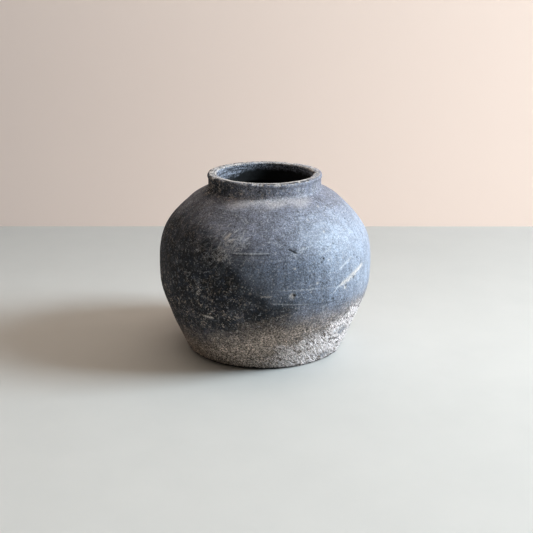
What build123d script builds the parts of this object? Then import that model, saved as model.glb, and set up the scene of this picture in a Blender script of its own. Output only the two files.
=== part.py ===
"""A squat, round-bellied black clay jar: flat foot, wide belly, steep shoulder, short upright neck, rolled lip.

The jar is one fired vessel, raised by hand from seven lengths of clay that are luted together while damp.
Each length is a separate ring (or, for the floor, a disc), and neighbours meet on a sloping luting face:
the inner edge of each joint lies lower than its outer edge, so a ring sits inside the one below it.

Frame: millimetres, +Z up, origin at the centre of the foot's underside.
"""
import os

from build123d import *

# Driving dimensions
HEIGHT = 149.0            # foot to the top of the lip
BELLY_RADIUS = 90.1       # widest outside radius
BELLY_HEIGHT = 72.3       # where it is widest
FOOT_RADIUS = 67.4        # outside radius of the flat foot, before its edge is rounded
FOOT_EDGE = 2.2           # how far in from that radius the underside starts to lift off the ground
NECK_RADIUS = 47.3        # outside of the upright neck
MOUTH_RADIUS = 40.2       # straight bore of the neck
LIP_RADIUS = 48.0         # outside of the rolled lip

# Wall thicknesses, thick at the floor and thin at the shoulder
FLOOR = 7.0
LOWER_WALL = 6.5
BELLY_WALL = 5.8
SHOULDER_WALL = 5.4

# The luting joint under each ring: radius and height of its outer edge, and its fall per millimetre inwards
LUTED = 0.5
BUTTED = 0.0
JOINTS = {
    "foot_wall": (70.3, FLOOR, BUTTED),
    "lower_belly": (82.2, 36.0, LUTED),       # top of the straight, scraped lower wall
    "upper_belly": (90.0, 68.0, LUTED),       # the two halves of the belly meet here
    "shoulder": (84.3, 104.3, LUTED),
    "neck_collar": (49.0, 137.6, LUTED),
    "rolled_lip": (NECK_RADIUS, 145.2, BUTTED),
}
JOINT_REACH = 14.0        # how far a cutting outline runs to each side, past the thickest wall

# Outside of the jar above the foot: radius and height, from the straight cone to the root of the neck
CONE_FOOT = (68.1, 1.7)            # top of the foot's rounded edge
CONE_TOP = (83.9, 40.0)
BELLY_STATIONS = [
    CONE_TOP,
    (88.9, 55.0),
    (BELLY_RADIUS, BELLY_HEIGHT),
    (87.7, 95.6),
    (79.1, 112.5),
    (66.3, 125.0),
    (52.0, 134.9),
]
NECK_ROOT_SLOPE = (-1.0, 0.50)     # direction of the shoulder where it runs into the neck
NECK_FOOT_HEIGHT = 139.4           # where the neck becomes upright
INNER_CORNER = 6.0                 # fillet between floor and wall, pressed in with a fingertip
UNDER_NECK = 3.0                   # rounding of the inner edge below the neck
UNDER_NECK_HEIGHT = 131.0          # where the underside of the shoulder runs into that rounding
LIP_TOP_INSET = 1.8                # how far the lip's flat crown lies inside its outer face
LIP_FLARE = (0.6, 1.0)             # direction in which the lip leaves the neck
LIP_INNER_INSET = 2.0              # and how far it lies outside the mouth
LIP_INNER_DROP = 1.8               # how far down the rounding between crown and mouth reaches


def at(radius, height):
    """A point of the jar's half section."""
    return Vector(radius, 0, height)


def outer_edges():
    """The outside of the half section, from the centre of the underside to the crown of the lip."""
    foot_start = at(FOOT_RADIUS - FOOT_EDGE, 0)
    cone = Line(at(*CONE_FOOT), at(*CONE_TOP))
    belly = Spline(
        [at(*station) for station in BELLY_STATIONS],
        tangents=[cone % 1, at(*NECK_ROOT_SLOPE)],
    )
    neck_foot = at(NECK_RADIUS, NECK_FOOT_HEIGHT)
    root = Spline([belly @ 1, neck_foot], tangents=[belly % 1, at(0, 1)])
    lip_foot = JOINTS["rolled_lip"][1]
    neck = Line(neck_foot, at(NECK_RADIUS, lip_foot))
    lip_belly = at(LIP_RADIUS, (lip_foot + HEIGHT) / 2)
    lip = Spline(
        [neck @ 1, lip_belly, at(LIP_RADIUS - LIP_TOP_INSET, HEIGHT)],
        tangents=[at(*LIP_FLARE), at(-1, 0)],
    )
    edges = [
        Line(at(0, 0), foot_start),
        Spline([foot_start, at(*CONE_FOOT)], tangents=[at(1, 0), cone % 0]),
        cone,
        belly,
        root,
        neck,
        lip,
    ]
    return edges, belly


def inside_of(curve, station, thickness):
    """The point of the inner face that lies square to the outer face at a station."""
    outside = at(*station)
    along = curve % curve.param_at_point(outside)
    inwards = Vector(-along.Z, 0, along.X)
    return outside + inwards * thickness


def inner_edges(belly, lip_crown):
    """The inside of the half section, from the crown of the lip down to the centre of the floor."""
    mouth_top = at(MOUTH_RADIUS, HEIGHT - LIP_INNER_DROP)
    crown_end = at(MOUTH_RADIUS + LIP_INNER_INSET, HEIGHT)
    stations = BELLY_STATIONS[:-1]
    walls = [LOWER_WALL, BELLY_WALL, BELLY_WALL, SHOULDER_WALL, SHOULDER_WALL, SHOULDER_WALL]
    inside = [inside_of(belly, s, wall) for s, wall in zip(stations, walls)]
    shoulder_end = at(MOUTH_RADIUS + UNDER_NECK, UNDER_NECK_HEIGHT)
    mouth_foot = at(MOUTH_RADIUS, shoulder_end.Z + UNDER_NECK)
    cone_dir = (at(*CONE_TOP) - at(*CONE_FOOT)).normalized()
    wall_foot = inside[0] - cone_dir * ((inside[0].Z - FLOOR - INNER_CORNER) / cone_dir.Z)
    corner = at(wall_foot.X - INNER_CORNER, FLOOR)
    cavity = Spline(
        [*inside, shoulder_end],
        tangents=[cone_dir, at(*NECK_ROOT_SLOPE)],
    )
    return [
        Line(lip_crown, crown_end),
        Spline([crown_end, mouth_top], tangents=[at(-1, 0), at(0, -1)]),
        Line(mouth_top, mouth_foot),
        Spline([mouth_foot, shoulder_end], tangents=[at(0, -1), at(*NECK_ROOT_SLOPE) * -1]),
        cavity,
        Line(wall_foot, inside[0]),
        Spline([wall_foot, corner], tangents=[cone_dir * -1, at(-1, 0)]),
        Line(corner, at(0, FLOOR)),
        Line(at(0, FLOOR), at(0, 0)),
    ]


def half_section():
    """The whole jar's half section, as one face."""
    outside, belly = outer_edges()
    inside = inner_edges(belly, outside[-1] @ 1)
    return Face(Wire([*outside, *inside]))


def joint_line(radius, height, fall):
    """One joint in section, as a straight cut's outer and inner end."""
    reach = at(JOINT_REACH, fall * JOINT_REACH)
    return at(radius, height) + reach, at(radius, height) - reach


def between(section, lower, upper):
    """The part of the section between two cuts, turned about the jar's axis."""
    outline = Wire.make_polygon([lower[0], upper[0], upper[1], lower[1]], close=True)
    return revolve(section & Face(outline), Axis.Z, 360)


def clay_pieces():
    """Every length of clay in the jar, from the floor up, by node name."""
    section = half_section()
    underside = (at(BELLY_RADIUS, 0), at(0, 0))
    floor_top = (at(BELLY_RADIUS, FLOOR), at(0, FLOOR))
    pieces = {"floor_disc": between(section, underside, floor_top)}
    cuts = [joint_line(*joint) for joint in JOINTS.values()]
    cuts.append(joint_line(NECK_RADIUS, HEIGHT, BUTTED))
    for name, lower, upper in zip(JOINTS, cuts, cuts[1:]):
        pieces[name] = between(section, lower, upper)
    return pieces


os.makedirs("parts", exist_ok=True)
for node, piece in clay_pieces().items():
    export_step(piece, f"parts/{node}.step")
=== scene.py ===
"""Looks for a squat, smoke-blackened clay jar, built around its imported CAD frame.

Every length of clay gets one sculpted piece that stands for it. All are cut from one skin: the jar's half
section, read from the frame and turned about +Z, then pushed in and out by seeded noise and by the marks
listed below. Masks worked out with the skin ride on the meshes and drive the clay materials.

Blender units are metres, in the CAD frame: +Z up, -Y towards the viewer, +X to the viewer's right. The skin
is in millimetres, and its places are degrees from the front, positive to the right, and height.
"""
import itertools
import math

import bpy
import numpy as np
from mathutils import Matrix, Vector
from mathutils.bvhtree import BVHTree


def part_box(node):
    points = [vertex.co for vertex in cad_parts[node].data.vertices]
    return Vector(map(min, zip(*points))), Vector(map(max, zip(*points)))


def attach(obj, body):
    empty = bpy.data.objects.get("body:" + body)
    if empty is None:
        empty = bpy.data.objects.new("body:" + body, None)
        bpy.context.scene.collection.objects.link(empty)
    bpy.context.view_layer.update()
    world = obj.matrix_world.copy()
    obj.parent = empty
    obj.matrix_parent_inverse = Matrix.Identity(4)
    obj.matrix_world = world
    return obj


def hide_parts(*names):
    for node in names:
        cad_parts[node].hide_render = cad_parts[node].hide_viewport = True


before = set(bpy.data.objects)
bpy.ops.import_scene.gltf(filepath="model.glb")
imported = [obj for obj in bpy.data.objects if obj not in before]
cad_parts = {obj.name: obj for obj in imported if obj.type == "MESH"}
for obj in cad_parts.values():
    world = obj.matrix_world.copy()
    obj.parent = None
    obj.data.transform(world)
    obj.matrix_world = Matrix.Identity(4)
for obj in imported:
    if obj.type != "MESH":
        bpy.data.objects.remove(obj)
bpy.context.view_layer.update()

# -------- driving values, in millimetres and degrees

SEED = 20
AROUND = 900            # columns of vertices round the jar
OUTER_STEP = 0.65       # between rows of vertices on the outside
INNER_STEP = 2.0        # and on the inside, the underside and the floor
FINE_STEPS = {"floor_disc": 0.45, "neck_collar": 0.55, "rolled_lip": 0.35}
RAY_STEP = 0.05         # between the rays that read the half section
CROWN_SKIM = 0.02       # how far the first and last rays stay from a flat end
LEAST_RADIUS = 0.01     # stands for the axis's, which is 0 and divides
LEAST_STEP = 1e-9       # and for a step of 0

# The pieces from the floor up, with the record's material slot each takes its finish from
PIECES = {
    "floor_disc": "bare_clay",
    "foot_wall": "bare_clay",
    "lower_belly": "smoked_clay",
    "upper_belly": "smoked_clay",
    "shoulder": "smoked_clay",
    "neck_collar": "smoked_clay",
    "rolled_lip": "worn_clay",
}

# Bare clay reaches up to this height, which rises round the jar to the right: degrees, height
BARE_LINE = [(-180, 26), (-110, 18), (-70, 15), (-50, 18), (-30, 25), (-12, 34), (2, 40), (20, 42.5),
             (40, 43), (60, 46), (80, 47), (130, 38)]
# Chalky crust, mostly on the right: degrees, height, and how thick it gets
CRUST_LINE = [(-180, 4, 0.1), (-30, 2, 0.0), (-5, 14, 0.3), (10, 26, 0.62), (25, 32, 0.82), (40, 37, 0.95),
              (62, 45, 1.0), (85, 42, 0.8), (120, 22, 0.3)]
# And where it has come away: degrees, height, half width in degrees, half height, how much is gone
CRUST_GONE = [(54, 24, 9, 4.5, 0.75), (46, 6.5, 10, 4.0, 0.65), (30, 30, 8, 3, 0.3)]
# And where it is smooth and closed, in the same terms
CRUST_CLOSED = [(50, 36, 6, 3.0, 0.7), (58, 41, 7, 3.0, 0.7), (46, 30, 5, 1.6, 0.9), (50, 14, 8, 3.0, 0.9),
                (38, 14, 6, 2.5, 0.7)]
# And where the wall stands fuller than true, or flatter if the last number is negative
BULGES = [(-85, 24, 60, 15, 0.8), (88, 110, 40, 10, -0.9)]
CRUST_DRAG = -44        # degrees above level, the way its grit was dragged
DRAG_CENTRE = (48, 30)  # the place that the dragging is measured from
DRAG_SIZE = (5.2, 1.35, 1)  # of the dragged grit, along and across
# Soot covers the jar's left and most of its back, as far round as this: height, degrees
SOOT_LINE = [(0, 16), (40, 18), (60, 13), (76, -3), (91, -9), (104, -20), (111, -29), (125, -42), (136, -38),
             (148, -30)]
SOOT_BACK = 150         # degrees, where the soot begins again on the right
DUST_MIDDLE = 7         # degrees, the middle of the dust under the neck
BURNISH_HEIGHT = 79     # the middle of the blue, burnished band
JOINT_GROOVE = (0.12, 0.7)  # how deep and how wide to each side the luted joints show

# Straight marks: degrees and height at each end, width, depth, and how pale the clay shows in them
SCRATCHES = [
    (40.8, 72.0, 63.0, 83.0, 3.8, 0.3, 1.0),
    (38.8, 71.2, 42.3, 73.0, 1.1, 0.1, 0.7),
    (36.8, 66.8, 39.6, 71.6, 0.8, 0.08, 0.6),
    (40.2, 85.2, 52, 93.0, 1.4, 0.1, 0.65),
    (-33.8, 48.5, -27.4, 48.0, 2.0, 0.25, 1.0),
    (12.2, 106.3, 17.0, 102.7, 0.75, 0.65, -1.0),
    (14.5, 103.0, 17.5, 101.6, 0.6, 0.1, 0.6),
    (17.2, 104.0, 20, 103.0, 0.7, 0.1, 0.5),
    (-23.2, 111.5, -19.8, 116.6, 2.6, 0.12, 0.7),
    (-18.9, 109.9, -17.7, 113.1, 2.0, 0.12, 0.55),
    (-18.9, 115.9, -15.6, 119.5, 0.7, 0.08, 0.8),
    (-12.2, 111.7, -8.5, 114.5, 0.6, 0.08, 0.8),
    (-15.0, 114.8, -12.4, 112.8, 0.5, 0.08, 0.6),
    (-12.4, 115.7, -12.2, 118.9, 0.7, 0.08, 0.7),
    (-12.3, 110.3, -9.3, 106.5, 0.6, 0.08, 0.45),
    (-25.7, 105.0, -24.3, 110.5, 0.7, 0.08, 0.55),
    (-16.1, 125.5, -11.5, 122.2, 0.5, 0.08, 0.6),
    (-24.0, 120.0, -22.3, 122.2, 0.7, 0.08, 0.6),
    (1.5, 112.0, 10.5, 109.0, 0.5, 0.08, 0.45),
    (17.6, 75.1, 24.0, 73.8, 0.8, 0.1, 0.5),
    (-2.2, 70.8, 3.6, 70.6, 0.9, 0.12, 0.6),
    # A raised seam pale along its crest, a painted highlight, and painted shadow in the line just under it
    (-17.5, 103.2, 3.5, 103.7, 0.5, -0.3, 1.0),
    (-16, 102.0, 3.0, 102.4, 0.7, 0.16, -0.35),
    (18, 104.6, 27, 107.4, 0.8, -0.12, 0.35),
    (30, 99.6, 38, 103.8, 0.8, -0.12, 0.35),
    (5, 75.6, 29, 74.0, 0.6, 0.1, 0.5),
    (27, 74.0, 38, 72.6, 0.6, 0.1, 0.25),
    (2.5, 65.0, 26, 61.6, 0.6, 0.1, 0.5),
    (10, 62.6, 40, 60.0, 1.4, 0.14, -0.3),
    (20, 127.0, 31, 126.2, 0.8, 0.12, -0.4),
    (-14, 126.5, -10, 122.0, 0.7, 0.08, 0.5),
    (42.0, 22.4, 54.8, 17.6, 1.0, 0.45, -0.8),
    (44.5, 27.6, 55.5, 31.0, 1.8, -0.2, 0.9),
    (-44, 131.0, -17, 129.4, 0.5, 0.08, 0.28),
    (-40, 128.6, -12, 126.8, 0.5, 0.08, 0.18),
    (-33, 125.2, -19, 124.6, 0.5, 0.08, 0.14),
    (-14, 121.0, -8, 115.5, 0.4, 0.08, 0.35),
    (2, 98.5, 12, 99.2, 0.6, 0.08, 0.25),
    (-12, 100.2, 2, 100.6, 0.5, 0.08, 0.12),
]
PALE_DEPTH = 0.11       # deeper marks reach the pale clay, others only score the black
# Round marks: degrees, height, radius, depth, and how pale the clay shows in them
DENTS = [
    (13.6, 70.2, 2.2, 0.55, 1.0),
    (14.8, 70.9, 1.3, 0.9, -1.0),
    (31.3, 96.8, 1.0, 0.6, -1.0),
    (29.8, 97.2, 0.6, 0.3, -0.6),
    (27.0, 78.6, 1.2, 0.3, 0.6),
    (28.6, 79.0, 0.6, 0.45, -0.9),
    (45.3, 69.6, 1.7, 0.4, 1.0),
    (45.8, 71.0, 0.9, 0.45, -0.8),
    (15.2, 92.0, 1.0, 0.15, 1.0),
    (23.5, 72.0, 0.8, 0.3, 0.8),
    (43.1, 59.5, 0.7, 0.5, -0.9),
    (56.2, 13.0, 2.0, 1.0, -1.0),
    (45.1, 130.6, 1.3, 0.2, 0.8),
    (-35, 70.5, 0.9, 0.2, 0.7),
    (-43, 68.0, 0.9, 0.2, 0.6),
    (-11, 78.0, 0.7, 0.2, 0.7),
    (-22, 60.0, 0.8, 0.2, 0.5),
]
# Rubbed patches of clay: degrees, height, half width, half height, and how far they are rubbed
RUBBED = [
    (-20.8, 110.3, 3.8, 5.0, 0.62),
    (-14.5, 113.5, 5.5, 5.0, 0.4),
    (-23.0, 105.5, 5.0, 5.0, 0.6),
    (-16.5, 105.5, 7.0, 5.5, 0.48),
    (-12.5, 110.5, 7.0, 6.0, 0.34),
    (-23.0, 99.0, 8.0, 5.5, 0.48),
    (-31.5, 116, 8, 6, 0.34),
    (-26, 93, 11, 6, 0.26),
    (-37, 101, 7, 7, 0.28),
    (-36, 74, 8, 9, 0.3),
    (-34, 21, 9, 4, 0.3),
    (-8, 100, 9, 5, 0.26),
    (38, 142, 8, 4, 0.34),
    (58, 142, 8, 5, 0.42),
]
# Where fine curved scratches gather: degrees, height, spread along the surface, how many, how pale at most
TANGLES = [(-18, 109, 7, 30, 1.0), (-13, 110, 7, 16, 0.9), (-25, 102, 8, 30, 0.45), (-34, 100, 15, 36, 0.5),
           (-8, 98, 12, 14, 0.45), (28, 112, 24, 26, 0.4), (-30, 72, 15, 24, 0.5)]
TANGLE_RADIUS = 88.0    # turns their spread into degrees
STRAY_HAIRS = 130       # more such scratches, anywhere round the jar
HAIR = 0.36             # half the width of one
HAIR_DEPTH = 0.045
HAIR_LENGTHS = (2.5, 9)
HAIR_BOW = 0.24         # of its length, how far its middle may sag
PITS = 900
PIT_HEIGHTS = (2, 147)
PIT_SIZES = (0.38, 0.75)  # the smallest, and how much larger they get
PIT_DEPTH = 0.32        # as a share of its size
# Chips out of the lip's outer edge: degrees, half width, and how far down they reach
LIP_CHIPS = [(-18.5, 1.0, 1.6), (-10, 1.5, 1.3), (-5.5, 0.8, 1.7), (-2.5, 0.9, 2.0), (3.5, 1.0, 1.3),
             (8.0, 0.8, 1.0), (12.5, 2.9, 2.1), (19.5, 1.7, 1.5), (24.5, 1.2, 1.3), (28.5, 1.4, 2.1),
             (37, 2.2, 1.2), (47, 1.6, 1.4), (-62, 1.8, 1.5), (-95, 2.4, 1.6), (118, 2.0, 1.8),
             (151, 2.8, 1.5), (-158, 1.6, 1.9)]
LIP_CHIP_DEPTH = 0.5
CROWN = 2.0             # from the middle of the lip's flat crown to its edges
CROWN_GROOVE = (0.3, 0.42)  # the groove along it: how deep, how wide to each side
# Small chips all round both edges: how far in from the crown's middle, half width, salt, how rare
SMALL_CHIPS = [(-CROWN - 0.6, 0.9, 48, 0.4), (CROWN + 1.0, 0.8, 49, 0.45)]
SMALL_CHIP_DEPTH = 0.4
# A flake lost from the lip's inner edge: degrees, half width, height, depth
LIP_FLAKE = (92, 3.8, 4.0, 1.3)
FOOT_CHIP_DEPTH = 0.5
UNDERSIDE_HOLLOW = 0.8  # how far its middle stands off the ground


# -------- seeded noise

RANDOM = np.random.default_rng(SEED)
LATTICE = 4096
GRADIENTS = RANDOM.normal(size=(LATTICE, 3))
GRADIENTS /= np.linalg.norm(GRADIENTS, axis=1)[:, None]
HASH = np.array([73856093, 19349663, 83492791])
SALT_SHIFT = 17.31      # cells from one salt's field to the next one's
NOISE_GAIN = 1.9        # brings gradient noise to about -1 to 1


def noise(points, size, salt=0):
    """Gradient noise at points, with features about size across. A new salt gives a new field."""
    places = points / np.asarray(size) + SALT_SHIFT * salt
    cells = np.floor(places).astype(np.int64)
    inside = places - cells
    fade = inside**3 * (inside * (inside * 6 - 15) + 10)
    total = np.zeros(points.shape[:-1])
    for corner in itertools.product((0, 1), repeat=3):
        keys = (cells + corner) * HASH
        key = (keys[..., 0] ^ keys[..., 1] ^ keys[..., 2]) % LATTICE
        weight = np.prod(np.where(corner, fade, 1 - fade), axis=-1)
        total += weight * np.einsum("...i,...i", GRADIENTS[key], inside - corner)
    return total * NOISE_GAIN


def layers(points, *kinds):
    """Several kinds of noise added up: how strong each is, its size and its salt."""
    return sum(strength * noise(points, size, salt) for strength, size, salt in kinds)


def noise_along(size, salt, first, second=0.0):
    """Noise over one or two lengths of each point."""
    return noise(np.stack([first, second + 0 * first, 0 * first], axis=-1), size, salt)


def rise(values, low, high):
    """0 below low, 1 above high, and smooth between. High may be the smaller."""
    share = np.clip((values - low) / (high - low), 0, 1)
    return share * share * (3 - 2 * share)


def spot(across, up=0.0):
    """1 in a place's middle, falling off smoothly. The distances are in half widths."""
    return np.exp(-(across**2) - up**2)


# -------- the half section, read from the frame

def frame_tree():
    """Every CAD node's faces in one tree, for rays."""
    corners, faces = [], []
    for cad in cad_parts.values():
        first = len(corners)
        corners += [v.co.copy() for v in cad.data.vertices]
        faces += [[first + i for i in face.vertices] for face in cad.data.polygons]
    return BVHTree.FromPolygons(corners, faces)


def wall_line(tree, low, high, outside):
    """Radius and height of the wall's outer or inner face, from low to high, in millimetres."""
    heights = np.arange(low + CROWN_SKIM, high - CROWN_SKIM, RAY_STEP)
    start, way = (1.0, -1.0) if outside else (0.0, 1.0)      # from a metre away, or from the axis
    radii = [tree.ray_cast(Vector((start, 0, z / 1000)), Vector((way, 0, 0)))[0].x * 1000 for z in heights]
    return np.column_stack([radii, heights])


def stretch(points, step):
    """Even points along a line, about a step apart, with both of its ends."""
    along = np.concatenate([[0], np.cumsum(np.hypot(*np.diff(points, axis=0).T))])
    places = np.linspace(0, along[-1], max(2, math.ceil(along[-1] / step) + 1))
    return np.column_stack([np.interp(places, along, points[:, i]) for i in (0, 1)])


def cut_line(line, heights):
    """A line that climbs or falls, cut into runs at the heights, each with its own exact ends."""
    order = np.argsort(line[:, 1])
    radii = np.interp(heights, line[order, 1], line[order, 0])
    runs = []
    for (r0, z0), (r1, z1) in zip(zip(radii, heights), zip(radii[1:], heights[1:])):
        inner = line[(line[:, 1] > min(z0, z1)) & (line[:, 1] < max(z0, z1))]
        runs.append(np.vstack([(r0, z0), inner, (r1, z1)]))
    return runs


def half_section():
    """Rows of the skin, from under the foot up the outside, over the lip and down the inside to the floor.
    Also the rows, by piece, where its outside starts and ends and where its inside starts and ends."""
    tree = frame_tree()
    boxes = [[corner.z * 1000 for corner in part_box(name)] for name in PIECES]
    height, floor = boxes[-1][1], boxes[0][1]
    outside = wall_line(tree, 0, height, True)
    inside = wall_line(tree, floor, height, False)[::-1]
    # A joint slopes down inwards, so a piece's top is its outer edge and its bottom is its inner edge
    outer_cuts = [outside[0, 1], *(box[1] for box in boxes[:-1]), outside[-1, 1]]
    inner_cuts = [inside[0, 1], *(box[0] for box in boxes[:1:-1]), inside[-1, 1]]
    crown = np.array([(outside[-1, 0], height), (inside[0, 0], height)])
    rows = [stretch(np.array([(0, 0), (outside[0, 0], 0)]), INNER_STEP)]
    ends = [[0] for _ in PIECES]
    names, lip = list(PIECES), len(PIECES) - 1

    def last_row():
        return sum(map(len, rows)) - 1

    # A run leaves out its first row where the run before it has the same one
    for piece, run in enumerate(cut_line(outside, outer_cuts)):
        rows.append(stretch(run, FINE_STEPS.get(names[piece], OUTER_STEP))[1 if piece else 0:])
        ends[piece].append(last_row())
        if piece < lip:
            ends[piece + 1][0] = last_row()
    rows.append(stretch(crown, FINE_STEPS["rolled_lip"]))
    for piece, run in zip(range(lip, 0, -1), cut_line(inside, inner_cuts)):
        shared = 0 if piece == lip else 1
        ends[piece].append(last_row() + 1 - shared)
        rows.append(stretch(run, FINE_STEPS.get(names[piece], INNER_STEP))[shared:])
        ends[piece].append(last_row())
    ends[0].append(last_row())
    rows.append(stretch(np.array([(inside[-1, 0], floor), (0, floor)]), INNER_STEP))
    ends[0].append(last_row())
    return np.vstack(rows), ends


# -------- the skin and its marks

class Skin:
    """The jar's whole surface as rows of the half section by columns round it, in millimetres."""

    def __init__(self):
        self.rows, self.ends = half_section()
        self.angles = np.linspace(-180, 180, AROUND, endpoint=False)
        turn = np.radians(self.angles)
        radii, self.heights = self.rows[:, 0:1], self.rows[:, 1:2]
        self.radii = np.maximum(radii, LEAST_RADIUS)
        self.around = np.stack([np.sin(turn), -np.cos(turn)], axis=-1)
        step = np.gradient(self.rows, axis=0)
        step /= np.maximum(np.linalg.norm(step, axis=1), LEAST_STEP)[:, None]
        self.out = np.column_stack([step[:, 1], -step[:, 0]])        # square to the section, out of the clay
        self.base = self.place(radii, self.heights)
        lengths = np.linalg.norm(np.diff(self.rows, axis=0), axis=1)
        self.along = np.concatenate([[0], np.cumsum(lengths)])[:, None]
        self.crown = (self.ends[-1][1] + self.ends[-1][2]) // 2
        number = np.arange(len(self.rows))[:, None]
        self.outer = (number <= self.crown).astype(float) + np.zeros(AROUND)
        self.lift = np.zeros(self.outer.shape)
        self.masks = {}

    def place(self, radii, heights):
        """Points of the frame for radii and heights given by row and column."""
        radii, heights = np.broadcast_arrays(radii, heights)
        if radii.shape[1] == 1:
            radii, heights = np.repeat(radii, AROUND, 1), np.repeat(heights, AROUND, 1)
        return np.concatenate([radii[..., None] * self.around, heights[..., None]], axis=-1)

    def turn(self, degrees):
        """How far each column lies to the right of an angle."""
        return (self.angles - degrees + 180) % 360 - 180

    def aside(self, degrees):
        """How far each point lies to the right of an angle, along the surface."""
        return np.radians(self.turn(degrees)) * self.radii

    def above(self, height):
        """How far each row lies beyond a height on the outside, along the surface."""
        outside = slice(0, self.crown)
        return self.along - np.interp(height, self.heights[outside, 0], self.along[outside, 0])

    def near(self, degrees, height, reach):
        """The outside within reach of a place: its rows and columns, and how far each point of it lies to the
        right of the place and above it, along the surface."""
        away = self.above(height)[: self.crown, 0]
        rows = np.flatnonzero(abs(away) < reach)
        radius = np.interp(height, self.heights[: self.crown, 0], self.radii[: self.crown, 0])
        turn = self.turn(degrees)
        columns = np.flatnonzero(abs(turn) < math.degrees(reach / radius))
        right = np.radians(turn[columns]) * self.radii[rows]
        return np.ix_(rows, columns), right, away[rows][:, None] + 0 * right

    def patch(self, degrees, height, wide, high, shift=0.0):
        """1 in the middle of a patch, which is wide in degrees. A shift frays its edge."""
        return spot((self.turn(degrees) + 1.5 * shift) / wide, (self.heights - height + 0.5 * shift) / high)

    def wear(self, name, values, area=...):
        """Raises a mask to the values, over an area or all over."""
        self.masks[name][area] = np.maximum(self.masks[name][area], values)

    def by_angle(self, line, column=1):
        """A value listed by angle, eased round the jar."""
        degrees = [entry[0] for entry in line]
        return np.interp(self.angles, degrees, [entry[column] for entry in line], period=360)

    def points(self):
        """The finished skin, in metres."""
        radii = self.rows[:, 0:1] + self.out[:, 0:1] * self.lift
        heights = np.maximum(self.heights + self.out[:, 1:2] * self.lift, 0)
        return self.place(np.where(self.rows[:, 0:1] > 0, radii, 0), heights) / 1000


def bare_zones(skin, drift):
    """Bare clay and crust, low down. Gives how much of them is left where they have come away."""
    ragged = 4.5 * drift + 3 * noise(skin.base, 6, 2) + 2.5 * noise(skin.base, 2.6, 4)
    bare = rise(skin.by_angle(BARE_LINE) - skin.heights + ragged, -18, 15)
    crust = rise(skin.by_angle(CRUST_LINE) - skin.heights + 1.1 * ragged, -9, 7)
    crust = crust * skin.by_angle(CRUST_LINE, 2)
    kept = np.ones(skin.outer.shape)
    for *place, gone in CRUST_GONE:
        kept *= 1 - gone * skin.patch(*place, ragged)
    skin.masks["bare"] = skin.outer * bare * kept
    skin.masks["crust"] = skin.outer * crust * kept
    return kept


def soot_zones(skin, drift):
    """Soot on the left and the back, and where it flakes off: low on the left, and round the neck."""
    height = skin.heights
    edge = np.interp(height, *np.array(SOOT_LINE, float).T)
    wander = 9 * drift + 8 * noise(skin.base, 38, 3)
    left = rise(edge - skin.angles + wander, -18, 18)
    right = rise(skin.angles - SOOT_BACK + wander, -15, 15)
    greyed = 0.48 * rise(height, 110, 128) * rise(height, 139, 133) + 0.04 * rise(height, 133, 139)
    soot = np.maximum(left, right) * (1 - greyed)
    low_left = soot * (0.18 + 0.6 * rise(height + 6 * drift, 84, 60))
    low_left = low_left * (0.28 + 0.72 * rise(skin.angles + 6 * drift, 0, -30))
    collar = 1.4 * rise(height, 133, 138) * rise(skin.angles, 55, -20)
    skin.masks["soot"] = soot
    skin.masks["flaky"] = skin.outer * np.clip(np.maximum(low_left, collar) + 0.05, 0, 1)


def pale_zones(skin, drift, kept):
    """Dust under the neck, blue round the belly, and a pale dusty film where crust is gone and on the right,
    where it also stands for painted sheen from the window's light.
    """
    height = skin.heights
    front = np.cos(np.radians(skin.angles - DUST_MIDDLE))
    dust = rise(height + 2.5 * drift, 130.2, 135.5) * rise(height, 141, 134)
    dust = dust * rise(front + 0.06 * drift, 0.7, 1.0)
    # On the right, partly a real dusty film and partly painted sheen where the window's light falls
    bloom_and_sheen = rise(skin.angles + 4 * drift + 0.42 * (height - 80), 14, 58) * rise(skin.angles, 150, 105)
    bloom_and_sheen = bloom_and_sheen * rise(height, 46, 72) * rise(height, 136, 110)
    skin.masks["dust"] = skin.outer * dust
    skin.masks["blue"] = skin.outer * rise(abs(height - BURNISH_HEIGHT + 7 * drift), 34, 10)
    skin.masks["bloom_and_sheen"] = skin.outer * np.maximum(bloom_and_sheen, 0.9 * (1 - kept))


def inner_zones(skin):
    """The inside, and where it turns black, which is lower on the side that the light reaches: soot with
    painted shade deep inside.
    """
    lit_side = 10 * np.maximum(np.cos(np.radians(skin.angles + 88)), 0) ** 2
    height = skin.heights + layers(skin.base, (1.5, 7, 5), (1.2, 2.5, 6))
    skin.masks["inside"] = 1 - skin.outer
    skin.masks["deep"] = (1 - skin.outer) * rise(height, 147.4 - lit_side, 141.5 - lit_side)


def make_by_hand(skin):
    """The uneven surface and the rings that raising and scraping leave."""
    base, bare, crust = skin.base, skin.masks["bare"], skin.masks["crust"]
    skin.lift += layers(base, (0.35, 75, 5), (0.16, 26, 6))
    for *place, how_far in BULGES:
        skin.lift += how_far * skin.outer * skin.patch(*place)
    skin.lift += (0.06 + 0.06 * bare) * noise(base, 7, 7)
    skin.lift += (0.03 + 0.07 * bare + 0.09 * crust) * noise(base, 1.9, 8)
    # Rings left by turning, close to level, that come and go
    level = skin.heights + 1.2 * noise(base, 60, 9)
    shown = rise(noise(base, 34, 10), -0.4, 0.5) * (1 - crust)
    skin.lift += shown * (0.07 * noise_along(3.1, 11, level) + 0.035 * noise_along(1.35, 12, level))


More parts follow.
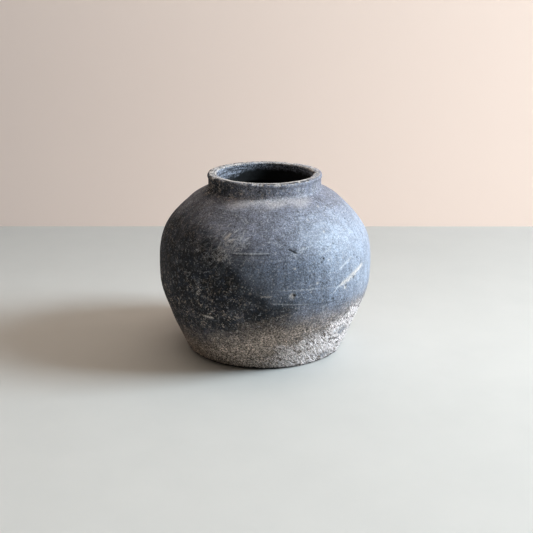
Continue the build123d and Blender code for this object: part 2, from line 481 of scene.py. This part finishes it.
def grit_crust(skin):
    """The crust's grit, dragged down to the right, the coarse crumbs between, and its smoother places."""
    base, crust = skin.base, skin.outer * skin.masks["crust"]
    drag = math.radians(CRUST_DRAG)
    u, v = skin.aside(DRAG_CENTRE[0]), skin.above(DRAG_CENTRE[1])
    along, across = u * math.cos(drag) + v * math.sin(drag), v * math.cos(drag) - u * math.sin(drag)
    dragged = noise_along(DRAG_SIZE, 15, along, across)
    crumbs = noise(base, 1.7, 13)
    skin.lift += crust * (0.42 * dragged + 0.1 * crumbs)
    skin.lift += crust * 0.35 * rise(noise(base, 9, 14), 0.0, 0.5)
    closed = np.zeros(skin.outer.shape)
    for *place, how_far in CRUST_CLOSED:
        closed = np.maximum(closed, how_far * skin.patch(*place))
    skin.masks["grain"] = skin.outer * (np.clip(0.5 + 0.6 * dragged + 0.2 * crumbs, 0, 1) + 0.6 * closed)


def joints(skin):
    """The luted joints: a faint groove that shows here and there round the jar."""
    depth, half_width = JOINT_GROOVE
    for _, end, *_ in skin.ends[1:-1]:
        away = skin.along - skin.along[end]
        shown = rise(noise(skin.base, 24, 16 + end % 7), 0.0, 0.5)
        skin.lift -= depth * shown * spot(away / half_width)


def stroke(skin, place, run, half, bow=0.0):
    """A stroke's area, and how much of the stroke lies at each point of it. place is its middle, run is how
    far it goes to the right and up, half is half its width, and bow how far its middle sags."""
    length = math.hypot(*run)
    area, u, v = skin.near(*place, length / 2 + 2 * half + abs(bow) + 1)
    share = (u * run[0] + v * run[1]) / length / (length / 2)
    across = (v * run[0] - u * run[1]) / length - bow * (share**2 - 1)
    thick = half * (1 - 0.45 * np.minimum(share**2, 1)) * (1 + 0.3 * noise(skin.base[area], 1.7, 30))
    return area, spot(across / thick) * rise(abs(share), 1.05, 0.75)


def mark(skin, area, body, depth, pale):
    """Presses a mark in, and pales the clay there, or darkens it if pale is negative."""
    skin.lift[area] -= depth * body
    reached = "worn" if depth > PALE_DEPTH else "scored_and_glint"
    skin.wear(reached if pale > 0 else "hollow", np.clip(1.25 * abs(pale) * body, 0, 1), area)


def scratch(skin, deg0, z0, deg1, z1, width, depth, pale):
    """One straight mark. A negative depth raises a ridge."""
    middle = (deg0 + deg1) / 2, (z0 + z1) / 2
    radius = np.interp(middle[1], *skin.rows[: skin.crown, ::-1].T)
    start, end = (skin.above(z)[0, 0] for z in (z0, z1))
    area, body = stroke(skin, middle, (math.radians(deg1 - deg0) * radius, start - end), width / 2 + 0.15)
    mark(skin, area, body, depth, pale)


def dent(skin, degrees, height, radius, depth, pale):
    """One round mark with a soft lip."""
    area, u, v = skin.near(degrees, height, 3 * radius + 1)
    away = np.hypot(u, v) / radius * (1 + 0.25 * noise(skin.base[area], 2.2, 31))
    skin.lift[area] += 0.25 * depth * np.exp(-((away - 1.3) ** 2) * 6)
    mark(skin, area, np.exp(-(away**2) * 1.6), depth, pale)


def pits(skin):
    """Burnt-out grit: small holes all over, thicker low down, some with a pale crumb left in them."""
    smallest, growth = PIT_SIZES
    for _ in range(PITS):
        degrees, size = RANDOM.uniform(-180, 180), smallest + growth * RANDOM.random() ** 3
        height, chance = RANDOM.uniform(*PIT_HEIGHTS), RANDOM.random()
        area, u, v = skin.near(degrees, height, 3 * size + 0.7)
        rough = skin.masks["bare"][area].mean() + skin.masks["crust"][area].mean()
        if chance < 0.55 + 0.45 * rough:
            mark(skin, area, spot(np.hypot(u, v) / size), PIT_DEPTH * size, 0.5 if chance < 0.1 else -0.7)


def rub(skin, degrees, height, half_width, half_height, strength):
    """A blotchy patch of clay rubbed pale."""
    area, u, v = skin.near(degrees, height, 2 * max(half_width, half_height))
    blotches = rise(layers(skin.base[area], (1, 5.0, 33), (0.75, 2.2, 34)), -0.3, 0.3)
    skin.wear("rubbed", strength * spot(u / half_width, v / half_height) * (0.62 + 0.38 * blotches), area)


def hair(skin, degrees, height, pale, lean):
    """A hair-thin pale scratch, bowed to one side."""
    length = RANDOM.uniform(*HAIR_LENGTHS)
    bow = RANDOM.uniform(-HAIR_BOW, HAIR_BOW) * length
    run = length * math.cos(lean), length * math.sin(lean)
    area, body = stroke(skin, (degrees, height), run, HAIR, bow)
    skin.lift[area] -= HAIR_DEPTH * body
    skin.wear("scored_and_glint", pale * body, area)


def scuffs(skin):
    """Rubbed patches, and the fine scratches that gather on and around them."""
    for patch in RUBBED:
        rub(skin, *patch)
    for degrees, height, spread, count, palest in TANGLES:
        for _ in range(count):
            turn = math.degrees(RANDOM.normal() * spread / TANGLE_RADIUS)
            pale = palest * (0.15 + 0.85 * RANDOM.random() ** 1.6)
            higher = 0.7 * RANDOM.normal() * spread
            hair(skin, degrees + turn, height + higher, pale, RANDOM.normal(0.9, 0.7))
    for _ in range(STRAY_HAIRS):
        place = RANDOM.uniform(-180, 180), RANDOM.uniform(40, 134)
        hair(skin, *place, RANDOM.uniform(0.08, 0.35), RANDOM.uniform(0, math.pi))


def lip_crown(skin, crown, ragged):
    """The lip's uneven, grooved crown, worn pale, with small chips along its edges, and at the front a
    painted highlight along its inner half and painted shade over its outer half and just below its outer
    edge.
    """
    base = skin.base
    skin.lift += rise(skin.heights, 141, 146) * layers(base, (0.18, 11, 40), (0.08, 3.2, 41))
    top = rise(crown + ragged, -CROWN - 0.6, -CROWN + 0.3) * rise(crown + ragged, CROWN + 2.6, CROWN + 1.2)
    front = rise(np.cos(np.radians(skin.angles)), 0.3, 0.8)
    # The outer half at the front: its wear is kept dim, and painted shade is laid over it
    front_outer = rise(-crown, -0.4, 0.6) * front
    broken_and_highlit = 0.15 + 0.85 * rise(layers(base, (1, 3.0, 46), (0.8, 1.4, 47)), -0.5, 0.25)
    # Painted highlight: at the front, the crown's inner half is worn fully pale
    broken_and_highlit = np.maximum(broken_and_highlit, 1.6 * front * rise(crown, -0.3, 0.5))
    worn = top * broken_and_highlit * (1 - 0.8 * front_outer)
    # A groove left by a fingertip round the crown
    depth, half_width = CROWN_GROOVE
    groove = spot((crown - CROWN + 0.5) / half_width) * rise(noise(base, 15, 44), -0.6, 0.0)
    skin.lift -= depth * groove
    skin.wear("hollow", 0.5 * groove)
    for middle, wide, salt, limit in SMALL_CHIPS:
        chips = rise(layers(base, (1, 3.6, salt), (0.5, 1.7, salt + 3)), limit, limit + 0.4)
        chips = chips * spot((crown - middle) / wide)
        skin.lift -= SMALL_CHIP_DEPTH * chips
        worn = np.maximum(worn, 0.8 * chips)
    skin.wear("worn", np.clip(worn, 0, 1.6))
    skin.wear("hollow", 0.5 * top * rise(noise(base, 1.3, 53), 0.15, 0.5) * rise(skin.angles, 20, 70))
    # Painted shade at the front, over the crown's outer half and just below its outer edge
    lip_front_shade = front_outer * rise(crown, -CROWN - 1.6, -CROWN - 0.4) * rise(noise(base, 4.5, 52), -0.5, 0.2)
    skin.wear("hollow", 0.88 * lip_front_shade)


def lip_breaks(skin, crown, ragged):
    """The larger chips out of the lip's outer edge, and the flake lost from its inner edge."""
    for degrees, half_width, reach in LIP_CHIPS:
        area, u, _ = skin.near(degrees, skin.heights[skin.crown, 0] - 1.5, 7)
        across = abs(u + 0.5 * noise(skin.base[area], 2.0, 50)) / half_width
        low = -CROWN - 0.2 - reach
        chip = rise(across, 1.25, 0.75) * rise((crown + ragged)[area], low - 0.4, low + 0.5)
        mark(skin, area, chip * rise((crown + 0 * ragged)[area], 0.2, -1.2), LIP_CHIP_DEPTH, 0.9)
    degrees, half_width, high, depth = LIP_FLAKE
    flake = rise(abs(skin.aside(degrees)) / half_width, 1.15, 0.8) * rise(crown, CROWN - 0.2, CROWN + 0.6)
    flake = flake * rise(crown, CROWN + high + 1.2, CROWN + high)
    skin.lift -= depth * flake
    skin.masks["flake"] = flake
    skin.masks["worn"] = skin.masks["worn"] * (1 - flake)


def foot(skin):
    """Painted shade in the gap above the ground, lighter where the light comes in, chips along the foot's
    edge, and a slightly hollow underside.
    """
    # Painted shade under the foot's edge, weaker on the right where the window's light reaches in
    gap = skin.outer * rise(skin.rows[:, 0:1], 63, 66) * rise(skin.heights, 2.3, 1.3)
    in_light = rise(np.cos(np.radians(skin.angles - 60)), 0.55, 0.95)
    skin.wear("hollow", gap * (1.0 - 0.45 * in_light))
    edge = spot((skin.along - skin.along[skin.ends[0][1]] + 5.5) / 2.2)
    skin.lift -= edge * FOOT_CHIP_DEPTH * rise(noise(skin.base, 6, 48), 0.1, 0.8)
    skin.lift -= UNDERSIDE_HOLLOW * rise(skin.rows[:, 0:1], 64, 54) * (skin.heights < 0.5)


def make_skin():
    skin = Skin()
    drift = noise(skin.base, 16, 1)
    kept = bare_zones(skin, drift)
    soot_zones(skin, drift)
    pale_zones(skin, drift, kept)
    inner_zones(skin)
    for name in ("worn", "hollow", "rubbed", "scored_and_glint"):
        skin.masks[name] = np.zeros(skin.outer.shape)
    make_by_hand(skin)
    grit_crust(skin)
    joints(skin)
    pits(skin)
    scuffs(skin)
    for scratched in SCRATCHES:
        scratch(skin, *scratched)
    for dented in DENTS:
        dent(skin, *dented)
    crown = skin.along - skin.along[skin.crown]          # how far in from the crown's middle
    ragged = layers(skin.base, (0.45, 3.4, 42), (0.25, 1.5, 43))
    lip_crown(skin, crown, ragged)
    lip_breaks(skin, crown, ragged)
    foot(skin)
    return skin


# -------- pieces

def ring_faces(rows, closed):
    """Quads between neighbouring rows of columns, and back to the first row if closed."""
    pairs = list(zip(range(rows), range(1, rows))) + ([(rows - 1, 0)] if closed else [])
    column = np.arange(AROUND)
    following = (column + 1) % AROUND
    quads = [np.column_stack([a * AROUND + column, a * AROUND + following,
                              b * AROUND + following, b * AROUND + column]) for a, b in pairs]
    return np.vstack(quads)


def clay_piece(name, numbers, skin, points, centres=False):
    """One length of clay as a closed mesh, from the skin's rows of those numbers, in order round its section.
    With centres, a point on the axis closes its first row and another its last."""
    vertices = points[numbers].reshape(-1, 3)
    faces = ring_faces(len(numbers), not centres).tolist()
    if centres:
        low, high = len(vertices), len(vertices) + 1
        last = (len(numbers) - 1) * AROUND
        vertices = np.vstack([vertices, points[0, 0], points[-1, 0]])
        for i in range(AROUND):
            faces.append([low, (i + 1) % AROUND, i])
            faces.append([high, last + i, last + (i + 1) % AROUND])
    mesh = bpy.data.meshes.new(name)
    mesh.from_pydata(vertices.tolist(), [], faces)
    mesh.shade_smooth()
    for mask, values in skin.masks.items():
        flat = values[numbers].ravel()
        if centres:
            flat = np.concatenate([flat, [values[0, 0], values[-1, 0]]])
        attribute = mesh.attributes.new("clay_" + mask, "FLOAT", "POINT")
        attribute.data.foreach_set("value", flat.astype(np.float32))
    piece = bpy.data.objects.new(name, mesh)
    bpy.context.scene.collection.objects.link(piece)
    return piece


def sharpen(piece, rows):
    """Sharp edges where the outside and the inside meet a joint's hidden face."""
    mesh = piece.data
    ends = np.zeros(len(mesh.edges) * 2, np.int64)
    mesh.edges.foreach_get("vertices", ends)
    row = ends.reshape(-1, 2) // AROUND
    sharp = (row[:, 0] == row[:, 1]) & np.isin(row[:, 0], rows)
    attribute = mesh.attributes.new("sharp_edge", "BOOLEAN", "EDGE")
    attribute.data.foreach_set("value", sharp)


def section_rows(name, outer_low, outer_high, inner_high, inner_low):
    """The skin's rows round a piece's section, and the places in that order of its sharp corners."""
    outer, inner = range(outer_low, outer_high + 1), range(inner_high, inner_low + 1)
    if name == "rolled_lip":                             # its rows run on over the crown
        joined = list(range(outer_low, inner_low + 1))
        return joined, [0, len(joined) - 1]
    joined = [*outer, *inner]
    if name == "floor_disc":                             # its first and last rows lie on the axis
        return joined[1:-1], [len(outer) - 2, len(outer) - 1]
    return joined, [0, len(outer) - 1, len(outer), len(joined) - 1]


def make_pieces(skin, materials):
    points = skin.points()
    for (name, slot), ends in zip(PIECES.items(), skin.ends):
        joined, corners = section_rows(name, *ends)
        piece = clay_piece(name + "_clay", joined, skin, points, name == "floor_disc")
        sharpen(piece, corners)
        piece.data.materials.append(materials[slot])
        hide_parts(name)
        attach(piece, "root")


# -------- materials

class Graph:
    """A material's nodes, with short calls for what is needed here."""

    def __init__(self, name):
        self.material = bpy.data.materials.new(name)
        self.material.use_nodes = True
        self.tree = self.material.node_tree
        self.tree.nodes.clear()
        self.object = self.add("ShaderNodeTexCoord").outputs["Object"]

    def add(self, kind, inputs=None, **settings):
        node = self.tree.nodes.new(kind)
        for key, value in settings.items():
            setattr(node, key, value)
        for key, value in (inputs or {}).items():
            self.set(node.inputs[key], value)
        return node

    def set(self, socket, value):
        if isinstance(value, bpy.types.NodeSocket):
            self.tree.links.new(value, socket)
        else:
            socket.default_value = value

    def mask(self, name):
        return self.add("ShaderNodeAttribute", attribute_name="clay_" + name).outputs["Fac"]

    def math(self, operation, a, b=0.0, clamp=False):
        return self.add("ShaderNodeMath", {0: a, 1: b}, operation=operation, use_clamp=clamp).outputs[0]

    def plus(self, a, b, clamp=False):
        return self.math("ADD", a, b, clamp)

    def times(self, a, b, clamp=False):
        return self.math("MULTIPLY", a, b, clamp)

    def larger(self, a, b):
        return self.math("MAXIMUM", a, b)

    def swing(self, noisy, share):
        """A share of the noise, shifted to swing about 0."""
        return self.times(self.math("SUBTRACT", noisy, 0.5), share)

    def span(self, value, low, high, to_low=0.0, to_high=1.0):
        """Carries low to high over to a new range, smoothly, and stops at its ends."""
        inputs = {"Value": value, "From Min": low, "From Max": high, "To Min": to_low, "To Max": to_high}
        return self.add("ShaderNodeMapRange", inputs, interpolation_type="SMOOTHSTEP").outputs["Result"]

    def blend(self, share, a, b):
        """Colour a, going over to b."""
        node = self.add("ShaderNodeMix", data_type="RGBA")
        for key, value in (("Factor_Float", share), ("A_Color", a), ("B_Color", b)):
            socket = next(s for s in node.inputs if s.identifier == key)
            self.set(socket, value)
        return next(s for s in node.outputs if s.identifier == "Result_Color")

    def dim(self, colour, share):
        """The colour times a number."""
        return self.add("ShaderNodeVectorMath", {0: colour, 3: share}, operation="SCALE").outputs[0]

    def noise(self, millimetres, detail=3.0, roughness=0.55, vector=None, distortion=0.0):
        """Noise with features of a size, or of size 1 in a vector's own lengths."""
        inputs = {"Vector": vector or self.object, "Scale": 1.0 if vector else 1000 / millimetres,
                  "Detail": detail, "Roughness": roughness, "Distortion": distortion}
        return self.add("ShaderNodeTexNoise", inputs).outputs["Fac"]

    def squeezed(self, turn, lengths, detail=3.0):
        """Noise in a turned frame, with its own length along each axis, for marks that run one way."""
        inputs = {"Vector": self.object, "Rotation": tuple(map(math.radians, turn)), "Scale": lengths}
        vector = self.add("ShaderNodeMapping", inputs, vector_type="TEXTURE").outputs["Vector"]
        return self.noise(1, detail, 0.6, vector)

    def lines(self, millimetres, detail, roughness, distortion, *span):
        """Winding lines, where a noise crosses its middle, with the distance from them carried over."""
        noisy = self.noise(millimetres, detail, roughness, distortion=distortion)
        return self.span(self.math("ABSOLUTE", self.math("SUBTRACT", noisy, 0.5)), *span)

    def surface(self, inputs):
        """The material's shader and its output."""
        shader = self.add("ShaderNodeBsdfPrincipled", inputs)
        return shader, self.add("ShaderNodeOutputMaterial", {"Surface": shader.outputs["BSDF"]})


def rgb(red, green, blue):
    return (red, green, blue, 1.0)


SOOT = rgb(0.004, 0.0048, 0.0062)
SOOT_GREY = rgb(0.019, 0.025, 0.037)
SLATE = rgb(0.172, 0.178, 0.219)
BLUE = rgb(0.13, 0.154, 0.205)
# A pale dusty film, partly painted sheen from the window's light
BLOOM_AND_SHEEN = rgb(0.31, 0.352, 0.43)
SPECK = rgb(0.52, 0.52, 0.54)
UMBER = rgb(0.62, 0.52, 0.44)
EARTH = rgb(0.64, 0.53, 0.45)
EARTH_DARK = rgb(0.11, 0.086, 0.07)
GRIT = rgb(0.115, 0.086, 0.068)
CHALK = rgb(0.8, 0.725, 0.71)
DUST = rgb(0.67, 0.6, 0.575)
RUBBED_GREY = rgb(0.72, 0.675, 0.655)
# Pale in scratches, and a painted highlight on the seam ridge's crest
SCORED_AND_GLINT = rgb(0.68, 0.69, 0.72)
WORN = rgb(0.7, 0.635, 0.58)
INSIDE = rgb(0.131, 0.138, 0.16)
# Deep inside: soot with painted shade
DEEP = rgb(0.0015, 0.0015, 0.0015)
# Dirt in marks and pits, and painted shade under the foot's edge and the lip's outer edge
DIRT_AND_SHADE = rgb(0.005, 0.0045, 0.004)
CLAY_IOR = 1.5
LEAST_LIGHT = 0.2       # of its colour, in the darkest grain
FLAKE_SHADE = 0.7       # of the dark earth, where the lip's flake is lost
SATIN_RANGE = 0.06      # how far the roughness goes to either side
MATTING = 0.42          # how much rougher the clay is where it is dull
BUMP_STRENGTH = 0.8
BUMP_DEPTHS = (0.00055, 0.0011)  # of smooth and of bare clay, in metres


class Clay(Graph):
    """A clay's nodes, with the noises that its looks share."""

    def __init__(self, name):
        super().__init__(name)
        self.crisp = self.noise(0.85, 1, 0.5)
        self.fine = self.noise(1.15, 3, 0.7)
        self.grit = self.noise(1.55, 1, 0.5)
        self.middle = self.noise(7, 4, 0.65)
        self.broad = self.noise(24, 3)
        self.upright = self.squeezed((0, 0, 0), (0.005, 0.005, 0.022))
        self.level = self.squeezed((0, 0, 0), (0.024, 0.024, 0.0014))
        self.dragged = self.squeezed((0, 44, 46), (0.0058, 0.001, 0.001), 2)


def smoked(g, smoke):
    """Slate, blue where it is burnished, pale with dusty film and painted sheen, and black where there is
    soot.
    """
    drifts = g.plus(g.swing(g.broad, 0.9), g.swing(g.middle, 1.3))
    cloud = g.times(drifts, g.span(g.mask("soot"), 0.0, 0.5, 0.25, 1.0))
    g.soot = g.plus(g.mask("soot"), cloud, True)
    slate = g.blend(g.plus(g.mask("blue"), g.times(drifts, 0.6), True), SLATE, BLUE)
    bloom_and_sheen = g.times(g.mask("bloom_and_sheen"), g.span(g.broad, 0.3, 0.7, 0.76, 0.86))
    black = g.blend(g.span(g.middle, 0.44, 0.64), SOOT, SOOT_GREY)
    return g.blend(g.times(g.soot, smoke, True), g.blend(bloom_and_sheen, slate, BLOOM_AND_SHEEN), black)


def mottled(g, colour):
    """Mottling, fine over coarse, with upright and level streaks, then pale specks and dark pinholes."""
    mottle = g.times(g.span(g.fine, 0.33, 0.67, 0.56, 1.5), g.span(g.middle, 0.33, 0.67, 0.88, 1.14))
    streaks = g.times(g.span(g.upright, 0.36, 0.64, 0.8, 1.22), g.span(g.level, 0.33, 0.67, 0.92, 1.08))
    # Calmer where the clay is pale with dusty film and painted sheen
    calm = g.span(g.mask("bloom_and_sheen"), 0.1, 0.9, 1.0, 0.74)
    mottle = g.math("SUBTRACT", g.times(mottle, streaks), 1.0)
    colour = g.dim(colour, g.plus(g.times(mottle, calm), 1.0))
    specks = g.times(g.span(g.grit, 0.63, 0.69), g.span(g.soot, 0.2, 1.0, 0.58, 0.35))
    colour = g.blend(specks, colour, SPECK)
    shown = g.span(g.mask("bloom_and_sheen"), 0.1, 0.9, 0.75, 0.4)
    return g.blend(g.times(g.span(g.grit, 0.35, 0.29), shown), colour, DIRT_AND_SHADE)


def flaked(g, colour):
    """Brown worm-like flecks and crumbs, in clusters, where soot has flaked."""
    flecks = g.times(g.lines(4.4, 1, 0.5, 2.2, 0.042, 0.01), g.span(g.noise(3.6, 3, 0.7), 0.46, 0.6))
    flecks = g.larger(flecks, g.span(g.noise(1.5, 1), 0.68, 0.72, 0.0, 0.8))
    flecks = g.times(flecks, g.span(g.noise(10, 3, 0.6), 0.43, 0.56, 0.1, 1.6))
    return g.blend(g.times(flecks, g.mask("flaky"), True), colour, UMBER)


def bared(g, colour):
    """Bare earth low down."""
    bare = g.plus(g.mask("bare"), g.swing(g.fine, 1.1), True)
    g.bare = g.times(bare, g.span(g.mask("bare"), 0.0, 0.15))
    earth = g.blend(g.span(g.noise(1.5, 4, 0.75), 0.385, 0.625), EARTH_DARK, EARTH)
    return g.blend(g.bare, colour, g.dim(earth, g.span(g.middle, 0.3, 0.7, 0.75, 1.25)))


def crusted(g, colour):
    """Chalky crust with dark grit in it."""
    grains = g.plus(g.times(g.mask("grain"), 0.2), g.times(g.dragged, 0.72))
    grains = g.plus(grains, g.times(g.fine, 0.08))
    grains = g.plus(grains, g.swing(g.middle, 0.4))
    # Its soft edge breaks up into specks
    g.crust = g.span(g.plus(g.mask("crust"), g.swing(g.fine, 1.6)), 0.22, 0.78)
    colour = g.blend(g.times(g.crust, g.span(grains, 0.5, 0.38, 0.0, 0.9)), colour, GRIT)
    chalk = g.times(g.span(grains, 0.36, 0.52), g.span(g.crust, 0.0, 1.0, 0.0, 0.95))
    return g.blend(chalk, colour, CHALK)


def dusty(g, colour):
    """Dust under the neck."""
    dust = g.times(g.mask("dust"), g.span(g.fine, 0.3, 0.65, 0.35, 0.8))
    return g.blend(dust, colour, DUST)


def grained(g, colour):
    """The finest grain, strongest where the clay is bare, crusted or flaky."""
    coarse = g.larger(g.times(g.bare, 2.4), g.times(g.crust, 1.9))
    coarse = g.plus(coarse, g.span(g.mask("bloom_and_sheen"), 0.0, 0.8, 1.1, 0.8))
    coarse = g.plus(coarse, g.times(g.mask("flaky"), 1.8))
    return g.dim(colour, g.larger(g.plus(g.swing(g.crisp, coarse), 1.0), LEAST_LIGHT))


def lined(g, colour):
    """The inside of the wall, grey and speckled by the mouth and black below, which is soot with painted
    shade.
    """
    blotchy = g.times(g.span(g.fine, 0.38, 0.64, 0.2, 2.3), g.span(g.level, 0.36, 0.62, 0.35, 1.7))
    wall = g.blend(g.mask("deep"), g.dim(INSIDE[:3], blotchy), g.dim(DEEP[:3], blotchy))
    return g.blend(g.mask("inside"), colour, wall)


def rubbed(g, colour):
    """Rubbed patches with ragged edges and fine cracks, then curls and scratches over them."""
    ragged = g.swing(g.noise(2.6, 3, 0.7, distortion=1.0), 2.2)
    inner = g.span(g.mask("rubbed"), 0.0, 0.65)
    patches = g.times(g.span(g.plus(g.mask("rubbed"), ragged), 0.3, 0.48), inner)
    cracks = g.lines(2.4, 2, 0.6, 1.6, 0.008, 0.05, 0.05, 1.0)
    patches = g.times(patches, g.times(cracks, g.span(g.crisp, 0.38, 0.55, 0.22, 1.0)))
    colour = g.blend(patches, colour, RUBBED_GREY)
    curls = g.times(g.lines(5.0, 1, 0.5, 2.6, 0.026, 0.007), g.span(g.noise(5.2, 2), 0.42, 0.56))
    curls = g.times(curls, g.span(g.mask("rubbed"), 0.03, 0.36))
    scored_and_glint = g.times(g.mask("scored_and_glint"), g.span(g.crisp, 0.41, 0.56, 0.38, 1.0))
    return g.blend(g.larger(curls, scored_and_glint), colour, SCORED_AND_GLINT)


def marked(g, colour):
    """Worn edges and deep marks, the flake lost inside the mouth, and a near-black that is dirt in marks and
    pits and painted shade under the foot and the lip.
    """
    grain = g.plus(g.times(g.fine, 0.5), g.times(g.crisp, 0.5))
    g.worn = g.times(g.mask("worn"), g.span(grain, 0.38, 0.55, 0.14, 1.0))
    colour = g.blend(g.worn, colour, WORN)
    colour = g.blend(g.mask("flake"), colour, g.dim(EARTH_DARK[:3], FLAKE_SHADE))
    return g.blend(g.mask("hollow"), colour, DIRT_AND_SHADE)


def finish(g, colour, smoke, rough):
    """Satin, and matt where the clay is bare, dusty, worn, sooty or deep inside, with fine relief."""
    dull = g.plus(g.plus(g.bare, g.mask("dust")), g.plus(g.worn, g.mask("deep")), True)
    dull = g.larger(g.larger(dull, g.mask("hollow")), g.times(g.soot, smoke))
    satin = g.span(g.middle, 0.3, 0.7, rough - SATIN_RANGE, rough + SATIN_RANGE)
    height = g.plus(g.times(g.fine, 0.6), g.times(g.noise(0.8, 3, 0.6), 0.4))
    height = g.plus(height, g.times(g.times(g.dragged, g.crust), 1.2))
    distance = g.span(g.bare, 0.0, 1.0, *BUMP_DEPTHS)
    bump = g.add("ShaderNodeBump", {"Height": height, "Strength": BUMP_STRENGTH, "Distance": distance})
    roughness = g.plus(satin, g.times(dull, MATTING), True)
    relief = bump.outputs["Normal"]
    g.surface({"Base Color": colour, "Roughness": roughness, "Normal": relief, "IOR": CLAY_IOR})


def clay(name, smoke, rough):
    """Fired clay: smoke-black over earth, with soot, flecks, crust, dust and wear laid over each other.
    smoke is how black the firing left it, and rough how matt it is."""
    g = Clay(name)
    colour = smoked(g, smoke)
    for look in (mottled, flaked, bared, crusted, dusty, grained, lined, rubbed, marked):
        colour = look(g, colour)
    finish(g, colour, smoke, rough)
    return g.material


# -------- stage, light and camera, in metres

FLOOR_SPAN = 5.0
FLOOR_PAINT = (rgb(0.66, 0.63, 0.58), rgb(0.6, 0.575, 0.53))
FLOOR_BACK_SHADE = (-0.1, 0.78)  # where the painted shade towards the wall starts, and how light the floor is by the wall
WALL_AWAY = 0.375       # behind the jar's axis
WALL_HEIGHT = 2.4
WALL_PAINT = (rgb(0.7, 0.57, 0.49), rgb(0.68, 0.55, 0.47))
WALL_GLOW = (rgb(0.17, 0.155, 0.15), rgb(0.455, 0.375, 0.33))  # light it gets from the room, left and right
WALL_SIDES = (-0.6, 0.4)  # where it starts and stops changing
PAINT_ROUGHNESS = 0.85
# Lights: place, what it points at, its sides, power and colour
WINDOW = ((2.0, 0, 1.22), (0, 0, 0.07), (1.0, 0.85), 100, (0.72, 0.87, 1.0))
CEILING = ((-0.1, 0.1, 1.7), (0, 0, 0), (1.5, 1.5), 9, (1.0, 0.9, 0.78))
ROOM = (rgb(1.0, 0.93, 0.84), 0.05)  # colour and strength of the light from all round
CAMERA_PLACE = (0.0014, -0.768, 0.312)
CAMERA_DOWN = 17.73     # degrees below level
CAMERA_LENS = 63.15     # on a sensor 36 mm wide


def plain(name, paint, spread):
    """A plain matt surface with a faint unevenness, for the stage: its nodes, its shader and its output."""
    g = Graph(name)
    shade = g.blend(g.noise(spread, 4, 0.6), *paint)
    return g, *g.surface({"Base Color": shade, "Roughness": PAINT_ROUGHNESS})


def stage_board(name, corners, material):
    mesh = bpy.data.meshes.new(name)
    mesh.from_pydata(corners, [], [(0, 1, 2, 3)])
    mesh.materials.append(material)
    board = bpy.data.objects.new(name, mesh)
    bpy.context.scene.collection.objects.link(board)


def make_stage():
    half = FLOOR_SPAN / 2
    floor, shader, _ = plain("floor_paint", FLOOR_PAINT, 60)
    start, greyed = FLOOR_BACK_SHADE
    # The floor darkens towards the wall: painted shade
    away = floor.add("ShaderNodeSeparateXYZ", {0: floor.object}).outputs["Y"]
    shade = shader.inputs["Base Color"].links[0].from_socket
    floor.set(shader.inputs["Base Color"], floor.dim(shade, floor.span(away, start, WALL_AWAY, 1.0, greyed)))
    square = [(-half, -half, 0), (half, -half, 0), (half, half, 0), (-half, half, 0)]
    stage_board("floor", square, floor.material)
    wall, shader, output = plain("wall_paint", WALL_PAINT, 300)
    side = wall.add("ShaderNodeSeparateXYZ", {0: wall.object}).outputs["X"]
    wall.set(shader.inputs["Emission Color"], wall.blend(wall.span(side, *WALL_SIDES), *WALL_GLOW))
    wall.set(shader.inputs["Emission Strength"], 1.0)
    # The wall shows only from the front, so that a view from behind sees the jar
    clear = wall.add("ShaderNodeBsdfTransparent").outputs[0]
    back = wall.add("ShaderNodeNewGeometry").outputs["Backfacing"]
    sided = wall.add("ShaderNodeMixShader", {0: back, 1: shader.outputs["BSDF"], 2: clear})
    wall.set(output.inputs["Surface"], sided.outputs[0])
    corners = (-half, 0), (half, 0), (half, WALL_HEIGHT), (-half, WALL_HEIGHT)
    stage_board("backdrop", [(x, WALL_AWAY, z) for x, z in corners], wall.material)


def area_light(name, place, target, sides, power, colour):
    light = bpy.data.lights.new(name, "AREA")
    light.shape, light.size, light.size_y = "RECTANGLE", *sides
    light.energy, light.color = power, colour
    lamp = bpy.data.objects.new(name, light)
    lamp.location = place
    lamp.rotation_mode = "QUATERNION"
    lamp.rotation_quaternion = (Vector(target) - Vector(place)).to_track_quat("-Z", "Y")
    lamp.visible_camera = False
    bpy.context.scene.collection.objects.link(lamp)


def make_light():
    area_light("window", *WINDOW)
    area_light("ceiling", *CEILING)
    world = bpy.data.worlds.new("room")
    world.use_nodes = True
    background = world.node_tree.nodes["Background"].inputs
    background["Color"].default_value, background["Strength"].default_value = ROOM
    bpy.context.scene.world = world


def make_camera():
    camera = bpy.data.objects.new("camera", bpy.data.cameras.new("camera"))
    camera.location = CAMERA_PLACE
    camera.rotation_euler = (math.radians(90 - CAMERA_DOWN), 0, 0)
    camera.data.lens = CAMERA_LENS
    bpy.context.scene.collection.objects.link(camera)
    bpy.context.scene.camera = camera
    bpy.context.scene.view_settings.view_transform = "Standard"


# -------- the scene

materials = {
    "bare_clay": clay("bare_clay", smoke=0.9, rough=0.58),
    "smoked_clay": clay("smoked_clay", smoke=1.0, rough=0.5),
    "worn_clay": clay("worn_clay", smoke=0.95, rough=0.52),
}
make_pieces(make_skin(), materials)
make_stage()
make_light()
make_camera()
